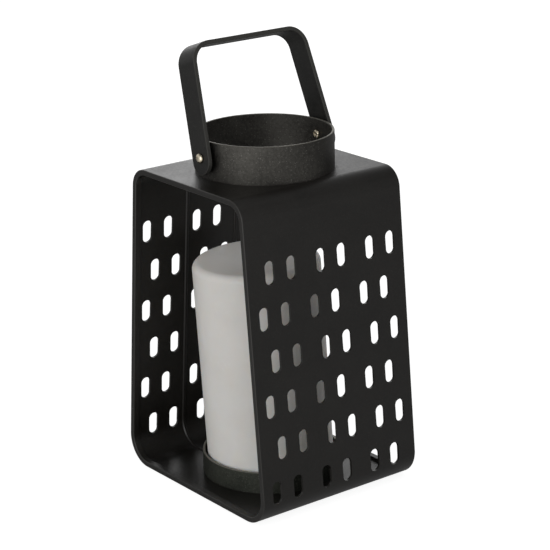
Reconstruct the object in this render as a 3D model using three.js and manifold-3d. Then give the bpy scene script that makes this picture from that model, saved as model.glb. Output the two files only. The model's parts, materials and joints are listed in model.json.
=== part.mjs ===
import * as THREE from 'three';
import { mergeVertices } from 'three/addons/utils/BufferGeometryUtils.js';
import Module from 'manifold-3d';

// Outdoor lantern with a battery candle. Millimetres, +Z up, -Y is the open front.
// The origin is the centre of the underside.

// Clearances
const gap = 0.3;              // between pieces that meet
const hingeSlack = 0.3;       // round a shank, tab or knob that moves

// Body: one sheet bent into a loop that narrows upwards, open at the front and the rear
const bodyDepth = 112.5;
const bodyBaseWidth = 136;    // between the outer corners, as if they were sharp
const bodyTopWidth = 103.5;
const bodyHeight = 187;
const sheetThickness = 1.5;
const topBendRadius = 12;     // outer side
const baseBendRadius = 16.5;
const bendSteps = 8;
const hemThickness = 3.3;     // sheet folded back on itself along both open edges
const hemDepth = 4;
const ribHeight = 0.8;        // raised line round the inside, between the columns of slots
const ribWidth = 1.8;

// Slots: pairs in columns and rows, every other row shifted
const slotWidth = 6.5;
const slotLength = 13.5;
const slotPitch = 15;
const slotPairPitch = 35.8;
const slotRowPitch = 25.2;
const slotRowShift = 6;
const slotBaseMargin = 20.1;  // underside to the lowest row's centre, along the wall
const slotTopMargin = 34;     // least length kept free above the highest row's centre
const slotEdgeMargin = 8;     // least width kept free beside the outermost slot's centre
const slotEndSteps = 3;       // quarter-round of a slot's end

// Collar on the roof, round a vent hole
const collarRadius = 40;      // outer side
const collarWall = 1.5;
const collarHeight = 22;
const ventLedge = 2.5;        // roof left showing inside the collar

// Handle: a flat strap bent square, swinging on two rivets through the collar
const handleWidth = 16;
const handleThickness = 2.4;
const handleHeight = 63.4;    // pivot to the top face
const handleBendRadius = 12.4;
const legTaper = 4.8;         // degrees that each leg leans in
const handleLean = 19;        // degrees from upright towards -X, as it stands at rest
const pivotRise = 13;         // roof to the pivot
const lugDrop = 1.5;          // pivot to the centre of the leg's round end
const rivetShankRadius = 1.5;
const rivetHeadRadius = 2.9;
const rivetHeadHeight = 1.5;
const rivetTailRadius = 2.6;
const rivetTailHeight = 1.2;
const rivetTailChamfer = 0.7;
const spacerRadius = 4;
const spacerThickness = 1.7;

// Candle, loose in its ring and standing a little askew
const candleRadius = 37.5;
const candleHeight = 130;
const candleShoulder = 4.6;   // radius of the rounded top edge
const candleFoot = 1;         // chamfer of the bottom edge
const candleLean = 2.94;      // degrees
const candleLeanHeading = -121.5;   // degrees from +X about +Z, the way the candle leans
const ringClearance = 1.75;   // between the candle and the ring, all round
const ringWall = 1.5;
const ringHeight = 12.7;
const wickRadius = 1.1;
const wickStub = 7;           // length above the wax
const wickDepth = 5;          // length in the wax

// Light unit in the candle's hollow
const flangeRadius = 33.5;
const flangeThickness = 2.6;
const flangeRecess = 1.2;     // flange lies this far inside the candle's bottom face
const unitRadius = 31.1;      // room for everything above the flange
const unitClearance = 0.4;    // round the flange and the unit, in the wax
const glowRadius = 20;        // hollow above the light unit
const glowTop = 112;
const cellRadius = 7.25;
const cellLength = 50.5;
const cellNubRadius = 2.75;
const cellNubHeight = 1.3;
const bayClearance = 0.45;
const bayWall = 1.4;
const bayDivider = 1;
const contactRoom = 3.7;      // length for a contact at each end of a cell
const roofThickness = 1.8;
const contactThickness = 0.4;
const contactPadWidth = 6;
const springWireRadius = 0.3;
const springInnerRadius = 2;
const springOuterRadius = 4.2;
const springTurns = 3;
const doorRadius = 21.7;
const doorThickness = 2.2;
const skirtWall = 3;
const tabReach = 1.6;         // length of a bayonet tab past the door's rim
const tabWidth = 8;
const tabThickness = 1;
const coinSlotLength = 16;
const coinSlotWidth = 2;
const coinSlotDepth = 1.1;
const doorTwist = 20;         // degrees from shut to the entry notches
const boardRadius = 14;
const boardThickness = 1.2;
const boardRise = 3;          // bay roof to the board
const boardScrewSpan = 20;
const screwShankRadius = 0.9;
const screwHeadRadius = 2;
const screwHeadHeight = 1.4;
const screwLength = 5;
const postRadius = 2.6;
const ledRadius = 2.5;
const ledFlangeRadius = 2.95;
const ledFlangeHeight = 1;
const ledHeight = 8.6;
const switchRadius = 28;      // from the candle's axis
const switchTravel = 4;
const knobLength = 3.2;
const knobWidth = 2;
const knobHeight = 4;
const shoeLength = 4.4;       // wider foot that keeps the knob in
const shoeWidth = 3.2;
const shoeThickness = 1;
const switchBodyLength = 11;
const switchBodyWidth = 5;
const switchBodyHeight = 4;

// Faceting of round pieces
const largeRoundSteps = 48;
const mediumRoundSteps = 32;
const smallRoundSteps = 16;
const windingSteps = 8;       // a turn of a spring
const wireSteps = 3;          // half-round of its wire

const degrees = Math.PI / 180;
const beyond = 1;             // how far a cutter reaches past what it cuts

const wasm = await Module();
wasm.setup();

function solid(geometry) {
  const bare = geometry.clone();
  for (const name of Object.keys(bare.attributes)) {
    if (name !== 'position') bare.deleteAttribute(name);
  }
  const merged = mergeVertices(bare);
  return new wasm.Manifold(new wasm.Mesh({
    numProp: 3,
    vertProperties: new Float32Array(merged.attributes.position.array),
    triVerts: new Uint32Array(merged.index.array),
  }));
}

function geometryOf(manifold) {
  const { vertProperties, triVerts } = manifold.getMesh();
  const geometry = new THREE.BufferGeometry();
  geometry.setAttribute('position', new THREE.BufferAttribute(vertProperties, 3));
  geometry.setIndex(new THREE.BufferAttribute(triVerts, 1));
  geometry.computeVertexNormals();
  return geometry;
}

function joined(geometries) {
  return geometries.map(solid).reduce((whole, next) => whole.add(next));
}

function cut(manifold, geometries) {
  return manifold.subtract(joined(geometries));
}

function named(name, shape, material) {
  const geometry = shape instanceof THREE.BufferGeometry ? shape : geometryOf(shape);
  const mesh = new THREE.Mesh(geometry, material);
  mesh.name = name;
  return mesh;
}

// Round, ring and box shapes standing on a height, along Z
function disc(radius, bottom, top, steps) {
  return new THREE.CylinderGeometry(radius, radius, top - bottom, steps)
    .rotateX(Math.PI / 2)
    .translate(0, 0, (bottom + top) / 2);
}

function turned(profile, steps) {
  const points = profile.map(([radius, height]) => new THREE.Vector2(radius, height));
  return new THREE.LatheGeometry(points, steps);
}

function turnedUpright(profile, steps) {
  return turned(profile, steps).rotateX(Math.PI / 2);
}

function ring(inner, outer, bottom, top, steps) {
  return turnedUpright([
    [inner, bottom],
    [outer, bottom],
    [outer, top],
    [inner, top],
    [inner, bottom],
  ], steps);
}

function block(sizeX, sizeY, bottom, top, x, y) {
  return new THREE.BoxGeometry(sizeX, sizeY, top - bottom).translate(x, y, (bottom + top) / 2);
}

function crossPin(radius, length, steps) {
  return new THREE.CylinderGeometry(radius, radius, length, steps);
}

function extrudedAlongY(shape, length, curveSegments) {
  return new THREE.ExtrudeGeometry(shape, { depth: length, bevelEnabled: false, curveSegments })
    .rotateX(Math.PI / 2)
    .translate(0, length / 2, 0);
}

function extrudedAlongX(shape, length, curveSegments) {
  const toYZ = new THREE.Matrix4().makeBasis(
    new THREE.Vector3(0, 1, 0), new THREE.Vector3(0, 0, 1), new THREE.Vector3(1, 0, 0));
  return new THREE.ExtrudeGeometry(shape, { depth: length, bevelEnabled: false, curveSegments })
    .translate(0, 0, -length / 2)
    .applyMatrix4(toYZ);
}

// Materials
const coat = { color: 0x1d1d1c, roughness: 0.5, metalness: 0.2 };
const shellCoat = new THREE.MeshStandardMaterial(coat);
const collarCoat = new THREE.MeshStandardMaterial({ ...coat, color: 0x343432, roughness: 0.55 });
const ringCoat = new THREE.MeshStandardMaterial({ ...coat, color: 0x383a35, roughness: 0.55 });
const handleCoat = new THREE.MeshStandardMaterial({ ...coat, color: 0x232321 });
const rivetMetal = new THREE.MeshStandardMaterial({ color: 0xc9bb9c, roughness: 0.3, metalness: 1 });
const spacerMetal = new THREE.MeshStandardMaterial({ color: 0x2a2a2a, roughness: 0.5, metalness: 0.6 });
const wax = new THREE.MeshStandardMaterial({ color: 0xdedcd5, roughness: 0.6, metalness: 0 });
const cotton = new THREE.MeshStandardMaterial({ color: 0x2b2722, roughness: 0.9, metalness: 0 });
const plastic = new THREE.MeshStandardMaterial({ color: 0xe6e2d8, roughness: 0.45, metalness: 0 });
const darkPlastic = new THREE.MeshStandardMaterial({ color: 0x222222, roughness: 0.5, metalness: 0 });
const boardGreen = new THREE.MeshStandardMaterial({ color: 0x2f5a3a, roughness: 0.5, metalness: 0.1 });
const amber = new THREE.MeshStandardMaterial({ color: 0xe8b060, roughness: 0.15, metalness: 0 });
const nickel = new THREE.MeshStandardMaterial({ color: 0xc4c4c0, roughness: 0.35, metalness: 1 });
const cellJacket = new THREE.MeshStandardMaterial({ color: 0x3c5f86, roughness: 0.4, metalness: 0.3 });

// The body's outline, seen from the front, moved in by an inset on all four sides
const wallTilt = Math.atan((bodyBaseWidth - bodyTopWidth) / 2 / bodyHeight);

function outlineCorners(inset) {
  const halfAt = (height) =>
    bodyBaseWidth / 2 - height * Math.tan(wallTilt) - inset / Math.cos(wallTilt);
  const low = inset;
  const high = bodyHeight - inset;
  return [
    { x: -halfAt(low), y: low, radius: baseBendRadius - inset },
    { x: halfAt(low), y: low, radius: baseBendRadius - inset },
    { x: halfAt(high), y: high, radius: topBendRadius - inset },
    { x: -halfAt(high), y: high, radius: topBendRadius - inset },
  ];
}

// Points along a closed outline with every corner rounded by its own radius
function roundedOutline(corners, steps) {
  const points = [];
  corners.forEach((corner, index) => {
    const here = new THREE.Vector2(corner.x, corner.y);
    const before = corners.at(index - 1);
    const after = corners[(index + 1) % corners.length];
    const back = new THREE.Vector2(before.x, before.y).sub(here).normalize();
    const ahead = new THREE.Vector2(after.x, after.y).sub(here).normalize();
    const opening = Math.acos(back.dot(ahead));
    const radius = Math.max(corner.radius, gap);
    const middle = back.clone().add(ahead).normalize()
      .multiplyScalar(radius / Math.sin(opening / 2)).add(here);
    const start = back.multiplyScalar(radius / Math.tan(opening / 2)).add(here).sub(middle);
    const turn = Math.PI - opening;
    for (let step = 0; step <= steps; step += 1) {
      points.push(start.clone().rotateAround(new THREE.Vector2(), turn * step / steps).add(middle));
    }
  });
  return points;
}

function loop(thickness, length, y) {
  const shape = new THREE.Shape(roundedOutline(outlineCorners(0), bendSteps));
  shape.holes.push(new THREE.Path(roundedOutline(outlineCorners(thickness), bendSteps)));
  return extrudedAlongY(shape, length, bendSteps).translate(0, y, 0);
}

// One slot, lying in the plane of the wall and cut through it and its bend
function slotShape() {
  const straight = (slotLength - slotWidth) / 2;
  const shape = new THREE.Shape();
  shape.absarc(0, straight, slotWidth / 2, 0, Math.PI);
  shape.absarc(0, -straight, slotWidth / 2, Math.PI, 2 * Math.PI);
  return shape;
}

function slotCutters() {
  const wallLength = bodyHeight / Math.cos(wallTilt);
  const rows = 1 + Math.floor((wallLength - slotBaseMargin - slotTopMargin) / slotRowPitch);
  const widthOfPair = slotPitch + slotRowShift;
  const pairs = 1 + Math.floor((bodyDepth - 2 * slotEdgeMargin - widthOfPair) / slotPairPitch);
  const reach = baseBendRadius;
  const cutters = [];
  for (let row = 0; row < rows; row += 1) {
    const up = slotBaseMargin + row * slotRowPitch;
    const shift = (row % 2 === 0 ? -1 : 1) * slotRowShift / 2;
    for (let pair = 0; pair < pairs; pair += 1) {
      for (const side of [-1, 1]) {
        const along = (pair - (pairs - 1) / 2) * slotPairPitch + side * slotPitch / 2 + shift;
        const cutter = extrudedAlongX(slotShape(), 2 * reach, slotEndSteps)
          .translate(0, along, up)
          .rotateY(-wallTilt)
          .translate(bodyBaseWidth / 2, 0, 0);
        cutters.push(cutter, cutter.clone().rotateZ(Math.PI));
      }
    }
  }
  return cutters;
}

const roof = bodyHeight;
const floor = sheetThickness;
const ringInner = candleRadius + ringClearance;

function bodyShell() {
  const hemY = (bodyDepth - hemDepth) / 2;
  const ribY = slotPairPitch / 2;
  const bent = joined([
    loop(sheetThickness, bodyDepth, 0),
    loop(hemThickness, hemDepth, -hemY),
    loop(hemThickness, hemDepth, hemY),
    loop(sheetThickness + ribHeight, ribWidth, -ribY),
    loop(sheetThickness + ribHeight, ribWidth, ribY),
  ]);
  const ventRadius = collarRadius - collarWall - ventLedge;
  const vent = disc(ventRadius, roof - hemThickness - beyond, roof + beyond, largeRoundSteps);
  const ringSeat = disc(ringInner + ringWall + gap, floor, floor + ribHeight + beyond,
    largeRoundSteps);
  return cut(bent, [vent, ringSeat, ...slotCutters()]);
}

// Handle and its pivots
const pivotHeight = roof + pivotRise;
const legSlope = Math.tan(legTaper * degrees);
const legInnerAtPivot = collarRadius + gap + spacerThickness + gap + spacerRadius * legSlope;
const legOuterAtPivot = legInnerAtPivot + handleThickness / Math.cos(legTaper * degrees);

function collar() {
  const base = roof + gap;
  const tube = solid(ring(collarRadius - collarWall, collarRadius, base, roof + collarHeight,
    largeRoundSteps));
  const hole = crossPin(rivetShankRadius + hingeSlack, 2 * (collarRadius + beyond), smallRoundSteps)
    .translate(0, 0, pivotHeight);
  return cut(tube, [hole]);
}

// Half of the strap's centre section in the YZ plane, from the lug up, heights from the pivot
function strapOutline(inset) {
  const low = -(lugDrop + handleWidth / 2 + beyond);
  const high = handleHeight - inset;
  const side = inset / Math.cos(legTaper * degrees);
  const halfAt = (height) => legOuterAtPivot - side - height * legSlope;
  return { low, high, lowHalf: halfAt(low), highHalf: halfAt(high), radius: handleBendRadius - inset };
}

function strapSide(inset) {
  const { low, high, lowHalf, highHalf, radius } = strapOutline(inset);
  return roundedOutline([
    { x: -lowHalf, y: low, radius: gap },
    { x: lowHalf, y: low, radius: gap },
    { x: highHalf, y: high, radius },
    { x: -highHalf, y: high, radius },
  ], bendSteps);
}

// The strap is a frame seen from the side, cut to its width and round ends seen from the front
function handle() {
  const frame = new THREE.Shape(strapSide(0));
  const outer = solid(extrudedAlongX(frame, 2 * handleWidth, bendSteps));
  const inner = extrudedAlongX(new THREE.Shape(strapSide(handleThickness)), 3 * handleWidth, bendSteps);
  const { low, lowHalf } = strapOutline(handleThickness);
  const open = block(3 * handleWidth, 2 * lowHalf, low - beyond, low + 2 * beyond, 0, 0);
  const half = handleWidth / 2;
  const front = new THREE.Shape();
  front.moveTo(half, handleHeight + beyond);
  front.lineTo(-half, handleHeight + beyond);
  front.lineTo(-half, -lugDrop);
  front.absarc(0, -lugDrop, half, Math.PI, 2 * Math.PI);
  const width = solid(extrudedAlongY(front, 2 * (legOuterAtPivot + handleThickness), smallRoundSteps));
  const holes = crossPin(rivetShankRadius + hingeSlack, 2 * (legOuterAtPivot + beyond), smallRoundSteps);
  return cut(outer, [inner, open]).intersect(width).subtract(solid(holes));
}

// Domed rivet along Y: shank, head outside the leg and tail inside the collar, for the rear side
function rivet() {
  const head = legOuterAtPivot + rivetHeadRadius * legSlope + gap;
  const bore = collarRadius - collarWall;
  const tail = Math.sqrt(bore ** 2 - rivetTailRadius ** 2) - gap;
  const dome = [];
  for (let step = 0; step <= smallRoundSteps / 4; step += 1) {
    const angle = Math.PI / 2 * step / (smallRoundSteps / 4);
    dome.push([rivetHeadRadius * Math.cos(angle), head + rivetHeadHeight * Math.sin(angle)]);
  }
  dome.at(-1)[0] = 0;
  return turned([
    [0, tail - rivetTailHeight],
    [rivetTailRadius - rivetTailChamfer, tail - rivetTailHeight],
    [rivetTailRadius, tail - rivetTailHeight + rivetTailChamfer],
    [rivetTailRadius, tail],
    [rivetShankRadius, tail],
    [rivetShankRadius, head],
    ...dome,
  ], smallRoundSteps);
}

function spacer() {
  const near = collarRadius + gap;
  const bore = rivetShankRadius + hingeSlack;
  return turned([
    [bore, near],
    [spacerRadius, near],
    [spacerRadius, near + spacerThickness],
    [bore, near + spacerThickness],
    [bore, near],
  ], smallRoundSteps);
}

// Ring on the floor that the candle stands in
function candleRing() {
  return ring(ringInner, ringInner + ringWall, floor + gap, floor + ringHeight, largeRoundSteps);
}

// The candle and its light unit are built upright on the candle's own bottom face
const flangeBottom = flangeRecess;
const flangeTop = flangeBottom + flangeThickness;
const doorBottom = flangeBottom + gap;
const doorTop = doorBottom + doorThickness;
const stripBottom = doorTop + gap;
const stripTop = stripBottom + contactThickness;
const cellBottom = stripTop + contactRoom;
const cellTop = cellBottom + cellLength;
const webBottom = stripTop + 2 * springWireRadius + gap;
const webTop = webBottom + roofThickness;
const bayTop = cellTop + contactRoom;
const unitTop = bayTop + roofThickness;
const boardBottom = unitTop + boardRise;
const boardTop = boardBottom + boardThickness;
const bayRadius = cellRadius + bayClearance;
const cellOffset = bayRadius + bayDivider / 2;
const openingRadius = doorRadius + gap;
const hollowTop = boardTop + screwHeadHeight + 2 * gap;

function candleWax() {
  const shoulder = [];
  const steps = smallRoundSteps / 2;
  for (let step = 0; step <= steps; step += 1) {
    const angle = Math.PI / 2 * step / steps;
    shoulder.push([
      candleRadius - candleShoulder * (1 - Math.cos(angle)),
      candleHeight - candleShoulder * (1 - Math.sin(angle)),
    ]);
  }
  const counterbore = flangeRadius + unitClearance;
  const hollow = unitRadius + unitClearance;
  const body = solid(turnedUpright([
    [counterbore, 0],
    [candleRadius - candleFoot, 0],
    [candleRadius, candleFoot],
    ...shoulder,
    [0, candleHeight],
    [0, glowTop],
    [glowRadius, glowTop],
    [glowRadius, hollowTop],
    [hollow, hollowTop],
    [hollow, flangeTop + gap],
    [counterbore, flangeTop + gap],
    [counterbore, 0],
  ], largeRoundSteps));
  const wickHole = disc(wickRadius + gap, candleHeight - wickDepth - gap, candleHeight + beyond,
    smallRoundSteps);
  return cut(body, [wickHole]);
}

function wick() {
  return disc(wickRadius, candleHeight - wickDepth, candleHeight + wickStub, smallRoundSteps);
}

function bayCentres() {
  return [-cellOffset, cellOffset];
}

function screwPositions() {
  return [-boardScrewSpan / 2, boardScrewSpan / 2];
}

// Moulded insert: flange, skirt round the door, battery tubes, roof and screw posts
function lightUnitHousing() {
  const skirtRadius = openingRadius + skirtWall;
  const adds = [
    ring(openingRadius, flangeRadius, flangeBottom, flangeTop, mediumRoundSteps),
    ring(openingRadius, skirtRadius, flangeBottom, webTop, mediumRoundSteps),
    disc(skirtRadius - gap, webBottom, webTop, mediumRoundSteps),
    disc(boardRadius, bayTop, unitTop, mediumRoundSteps),
  ];
  for (const x of bayCentres()) {
    adds.push(disc(bayRadius + bayWall, webBottom, unitTop, mediumRoundSteps).translate(x, 0, 0));
  }
  for (const y of screwPositions()) {
    adds.push(disc(postRadius, bayTop, boardBottom - gap, smallRoundSteps).translate(0, y, 0));
  }
  const cuts = [];
  for (const x of bayCentres()) {
    cuts.push(disc(bayRadius, webBottom - beyond, bayTop, mediumRoundSteps).translate(x, 0, 0));
  }
  for (const y of screwPositions()) {
    cuts.push(disc(screwShankRadius + gap, boardBottom - screwLength, boardBottom, smallRoundSteps)
      .translate(0, y, 0));
  }
  const grooveRadius = doorRadius + tabReach + hingeSlack;
  const grooveBottom = doorTop - tabThickness - hingeSlack;
  cuts.push(ring(openingRadius - beyond, grooveRadius, grooveBottom, doorTop + hingeSlack,
    mediumRoundSteps));
  const notch = block(2 * grooveRadius, tabWidth + 2 * hingeSlack, flangeBottom - beyond,
    doorTop + hingeSlack, 0, 0);
  cuts.push(notch.rotateZ(doorTwist * degrees));
  cuts.push(block(knobWidth + 2 * hingeSlack, knobLength + switchTravel + 2 * hingeSlack,
    flangeBottom - beyond, flangeTop + beyond, switchRadius, 0));
  return cut(joined(adds), cuts);
}

function batteryDoor() {
  const lid = solid(disc(doorRadius, doorBottom, doorTop, mediumRoundSteps));
  const tabs = block(2 * (doorRadius + tabReach), tabWidth, doorTop - tabThickness, doorTop, 0, 0);
  const coinSlot = block(coinSlotLength, coinSlotWidth, doorBottom - beyond,
    doorBottom + coinSlotDepth, 0, 0);
  const round = disc(doorRadius + tabReach, doorBottom - beyond, doorTop + beyond, mediumRoundSteps);
  return lid.add(solid(tabs)).intersect(solid(round)).subtract(solid(coinSlot));
}

// Strip on the door that joins the two cells, with a pad raised to one of them
function doorContact() {
  const half = cellOffset + contactPadWidth / 2;
  const rise = cellBottom - gap;
  const strip = new THREE.Shape([
    [-half, stripBottom],
    [half, stripBottom],
    [half, rise],
    [half - contactPadWidth, rise],
    [half - contactPadWidth, rise - contactThickness],
    [half - contactThickness, rise - contactThickness],
    [half - contactThickness, stripTop],
    [-half, stripTop],
  ].map(([x, y]) => new THREE.Vector2(x, y)));
  return extrudedAlongY(strip, contactPadWidth, 1).rotateZ(Math.PI);
}

// Leaf contact under the bay roof, bent down to the cell's nub
function topContactPlate() {
  const half = contactPadWidth / 2;
  const high = bayTop - gap;
  const low = cellTop + gap;
  const leaf = new THREE.Shape([
    [-half, high],
    [-half, high - contactThickness],
    [half - contactThickness, high - contactThickness],
    [half - contactThickness, low + contactThickness],
    [-half, low + contactThickness],
    [-half, low],
    [half, low],
    [half, high],
  ].map(([x, y]) => new THREE.Vector2(x, y)));
  return extrudedAlongY(leaf, contactPadWidth, 1).translate(cellOffset, 0, 0);
}

// Wire wound as a cone, wide at its seat
class Winding extends THREE.Curve {
  constructor(seat, tip) {
    super();
    this.seat = seat;
    this.tip = tip;
  }

  getPoint(t, target = new THREE.Vector3()) {
    const radius = THREE.MathUtils.lerp(springOuterRadius, springInnerRadius, t);
    const angle = 2 * Math.PI * springTurns * t;
    return target.set(radius * Math.cos(angle), radius * Math.sin(angle),
      THREE.MathUtils.lerp(this.seat, this.tip, t));
  }
}

function contactSpring(seat, tip) {
  const wire = new THREE.Shape();
  wire.absarc(0, 0, springWireRadius, 0, 2 * Math.PI);
  return new THREE.ExtrudeGeometry(wire, {
    steps: springTurns * windingSteps,
    curveSegments: wireSteps,
    extrudePath: new Winding(seat, tip),
  });
}

function cell() {
  return turnedUpright([
    [0, 0],
    [cellRadius, 0],
    [cellRadius, cellLength - cellNubHeight],
    [cellNubRadius, cellLength - cellNubHeight],
    [cellNubRadius, cellLength],
    [0, cellLength],
  ], mediumRoundSteps);
}

function circuitBoard() {
  const board = solid(disc(boardRadius, boardBottom, boardTop, mediumRoundSteps));
  const holes = screwPositions().map((y) =>
    disc(screwShankRadius + gap, boardBottom - beyond, boardTop + beyond, smallRoundSteps)
      .translate(0, y, 0));
  return cut(board, holes);
}

function boardScrew(y) {
  const tip = boardBottom - screwLength + gap;
  const under = boardTop + gap;
  return turnedUpright([
    [0, tip],
    [screwShankRadius, tip],
    [screwShankRadius, under],
    [screwHeadRadius, under],
    [screwHeadRadius, under + screwHeadHeight],
    [0, under + screwHeadHeight],
  ], smallRoundSteps).translate(0, y, 0);
}

function led() {
  const foot = boardTop + gap;
  const flange = foot + ledFlangeHeight;
  const lens = foot + ledHeight - ledRadius;
  const dome = [];
  for (let step = 0; step <= smallRoundSteps / 4; step += 1) {
    const angle = Math.PI / 2 * step / (smallRoundSteps / 4);
    dome.push([ledRadius * Math.cos(angle), lens + ledRadius * Math.sin(angle)]);
  }
  dome.at(-1)[0] = 0;
  return turnedUpright([
    [0, foot],
    [ledFlangeRadius, foot],
    [ledFlangeRadius, flange],
    [ledRadius, flange],
    ...dome,
  ], smallRoundSteps);
}

function switchBody() {
  const bottom = flangeTop + gap;
  const body = solid(block(switchBodyWidth, switchBodyLength, bottom, bottom + switchBodyHeight,
    switchRadius, 0));
  const channel = block(shoeWidth + 2 * hingeSlack, shoeLength + switchTravel + 2 * hingeSlack,
    bottom - beyond, doorBottom + knobHeight + hingeSlack, switchRadius, 0);
  return cut(body, [channel]);
}

function switchKnob() {
  const top = doorBottom + knobHeight;
  const y = -switchTravel / 2;
  return joined([
    block(knobWidth, knobLength, doorBottom, top, switchRadius, y),
    block(shoeWidth, shoeLength, top - shoeThickness, top, switchRadius, y),
  ]);
}

// Assembly
const lantern = new THREE.Group();
lantern.add(named('body_shell', bodyShell(), shellCoat));
lantern.add(named('collar', collar(), collarCoat));
lantern.add(named('candle_ring', candleRing(), ringCoat));

for (const [place, turn] of [['rear', 0], ['front', Math.PI]]) {
  const side = new THREE.Group();
  side.position.z = pivotHeight;
  side.rotation.z = turn;
  side.add(named(`handle_rivet_${place}`, rivet(), rivetMetal));
  side.add(named(`handle_spacer_${place}`, spacer(), spacerMetal));
  lantern.add(side);
}

const handleGroup = new THREE.Group();
handleGroup.position.z = pivotHeight;
handleGroup.rotation.y = -handleLean * degrees;
handleGroup.add(named('handle', handle(), handleCoat));
lantern.add(handleGroup);

// The leaning candle rests on the low side of its foot, with its axis through the ring's middle
const lean = candleLean * degrees;
const heading = candleLeanHeading * degrees;
const seatHeight = floor + gap + (candleRadius - candleFoot) * Math.sin(lean);
const offAxis = (ringHeight / 2 + floor - seatHeight) * Math.tan(lean);
const candle = new THREE.Group();
candle.position.set(-offAxis * Math.cos(heading), -offAxis * Math.sin(heading), seatHeight);
candle.quaternion.setFromAxisAngle(
  new THREE.Vector3(-Math.sin(heading), Math.cos(heading), 0), lean);
candle.add(named('candle_wax', candleWax(), wax));
candle.add(named('candle_wick', wick(), cotton));
candle.add(named('light_unit_housing', lightUnitHousing(), plastic));
candle.add(named('battery_door', batteryDoor(), plastic));
candle.add(named('door_contact', doorContact(), nickel));
candle.add(named('door_contact_spring',
  contactSpring(stripTop + springWireRadius + gap, cellBottom - springWireRadius - gap)
    .translate(cellOffset, 0, 0), nickel));
candle.add(named('battery_nub_up', cell().translate(cellOffset, 0, cellBottom), cellJacket));
candle.add(named('battery_nub_down',
  cell().rotateX(Math.PI).translate(-cellOffset, 0, cellTop), cellJacket));
candle.add(named('top_contact_plate', topContactPlate(), nickel));
candle.add(named('top_contact_spring',
  contactSpring(bayTop - springWireRadius - gap, cellTop + springWireRadius + gap)
    .translate(-cellOffset, 0, 0), nickel));
candle.add(named('circuit_board', circuitBoard(), boardGreen));
candle.add(named('board_screw_front', boardScrew(screwPositions()[0]), nickel));
candle.add(named('board_screw_rear', boardScrew(screwPositions()[1]), nickel));
candle.add(named('led', led(), amber));
candle.add(named('switch_body', switchBody(), darkPlastic));
candle.add(named('switch_knob', switchKnob(), darkPlastic));
lantern.add(candle);

export default lantern;
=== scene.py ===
import json
from math import atan, cos, hypot, pi, radians, sin, tan

import bmesh
import bpy
from mathutils import Matrix, Vector


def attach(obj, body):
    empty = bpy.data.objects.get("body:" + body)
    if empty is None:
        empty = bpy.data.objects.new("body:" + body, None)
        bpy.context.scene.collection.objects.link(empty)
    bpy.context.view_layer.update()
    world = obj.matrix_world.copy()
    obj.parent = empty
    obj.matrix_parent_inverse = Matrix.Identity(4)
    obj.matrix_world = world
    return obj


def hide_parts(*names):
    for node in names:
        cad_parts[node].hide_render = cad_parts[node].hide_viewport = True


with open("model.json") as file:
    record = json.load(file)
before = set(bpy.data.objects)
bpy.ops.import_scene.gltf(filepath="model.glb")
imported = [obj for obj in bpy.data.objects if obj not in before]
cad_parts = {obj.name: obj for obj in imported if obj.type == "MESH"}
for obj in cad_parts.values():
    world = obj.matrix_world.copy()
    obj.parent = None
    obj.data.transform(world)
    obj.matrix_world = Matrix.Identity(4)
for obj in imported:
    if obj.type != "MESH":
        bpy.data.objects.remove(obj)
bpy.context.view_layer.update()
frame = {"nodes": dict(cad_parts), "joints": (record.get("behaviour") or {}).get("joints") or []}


# Body sheet
# One sheet of black powder-coated steel, bent into a loop that narrows upwards. Its open edges are
# folded back as hems, two lines are pressed up round the inside, and slots and a vent are punched.

mm = 0.001
body_depth = 112.5 * mm
body_foot_width = 135.87 * mm   # between the outer corners, as if they were sharp
body_top_width = 103.5 * mm
body_height = 187 * mm
sheet = 1.5 * mm
foot_bend = 16.5 * mm           # outer sides of the bends
top_bend = 12 * mm
hem_thickness = 3.3 * mm
hem_width = 4 * mm
hem_rounding = 0.55 * mm
line_height = 0.8 * mm
line_width = 1.8 * mm           # half-way up its slopes
line_slope = 0.25 * mm          # half of a slope's run
crease = 0.3 * mm               # rounding at the lines and beside the hems
slot_width = 6.5 * mm
slot_length = 13.5 * mm
slot_pitch = 15 * mm
slot_pair_pitch = 35.8 * mm
slot_row_pitch = 25.2 * mm
slot_row_shift = 6 * mm
slot_foot_margin = 20.1 * mm    # underside to the lowest row, along the wall
slot_rows = 6
slot_pairs = 3
vent_radius = 36 * mm
bend_steps = 28

tilt = atan((body_foot_width - body_top_width) / 2 / body_height)
foot_turn = pi / 2 + tilt
top_turn = pi / 2 - tilt
foot_tangent = foot_bend * tan(foot_turn / 2)
top_tangent = top_bend * tan(top_turn / 2)
foot_run = body_foot_width / 2 - foot_tangent
top_run = body_top_width / 2 - top_tangent
up_the_wall = Vector((-sin(tilt), 0, cos(tilt)))


def only(parts, kind):
    """The vertices, edges or faces among the parts that an operator made."""
    return [part for part in parts if isinstance(part, kind)]


def section(bm, corners, segments=5):
    """Edges round a flat section through corners (x, y, z, rounding), apart from any on the Z axis."""
    verts = [bm.verts.new(corner[:3]) for corner in corners]
    bm.faces.new(verts)
    for vert, corner in zip(verts, corners):
        if corner[3]:
            bmesh.ops.bevel(bm, geom=[vert], offset=corner[3], offset_type="OFFSET",
                            segments=segments, profile=0.5, affect="VERTICES", material=-1)
    bmesh.ops.delete(bm, geom=bm.faces[:], context="FACES_ONLY")
    on_axis = [edge for edge in bm.edges
               if all(hypot(vert.co.x, vert.co.y) < 1e-7 for vert in edge.verts)]
    bmesh.ops.delete(bm, geom=on_axis, context="EDGES")
    return bm.edges[:]


def drawn(bm, ring, way):
    """Draws a ring of edges out straight, and gives the ring at the far end."""
    made = bmesh.ops.extrude_edge_only(bm, edges=ring)["geom"]
    bmesh.ops.translate(bm, vec=way, verts=only(made, bmesh.types.BMVert))
    return [edge for edge in only(made, bmesh.types.BMEdge) if edge.is_boundary]


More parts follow.
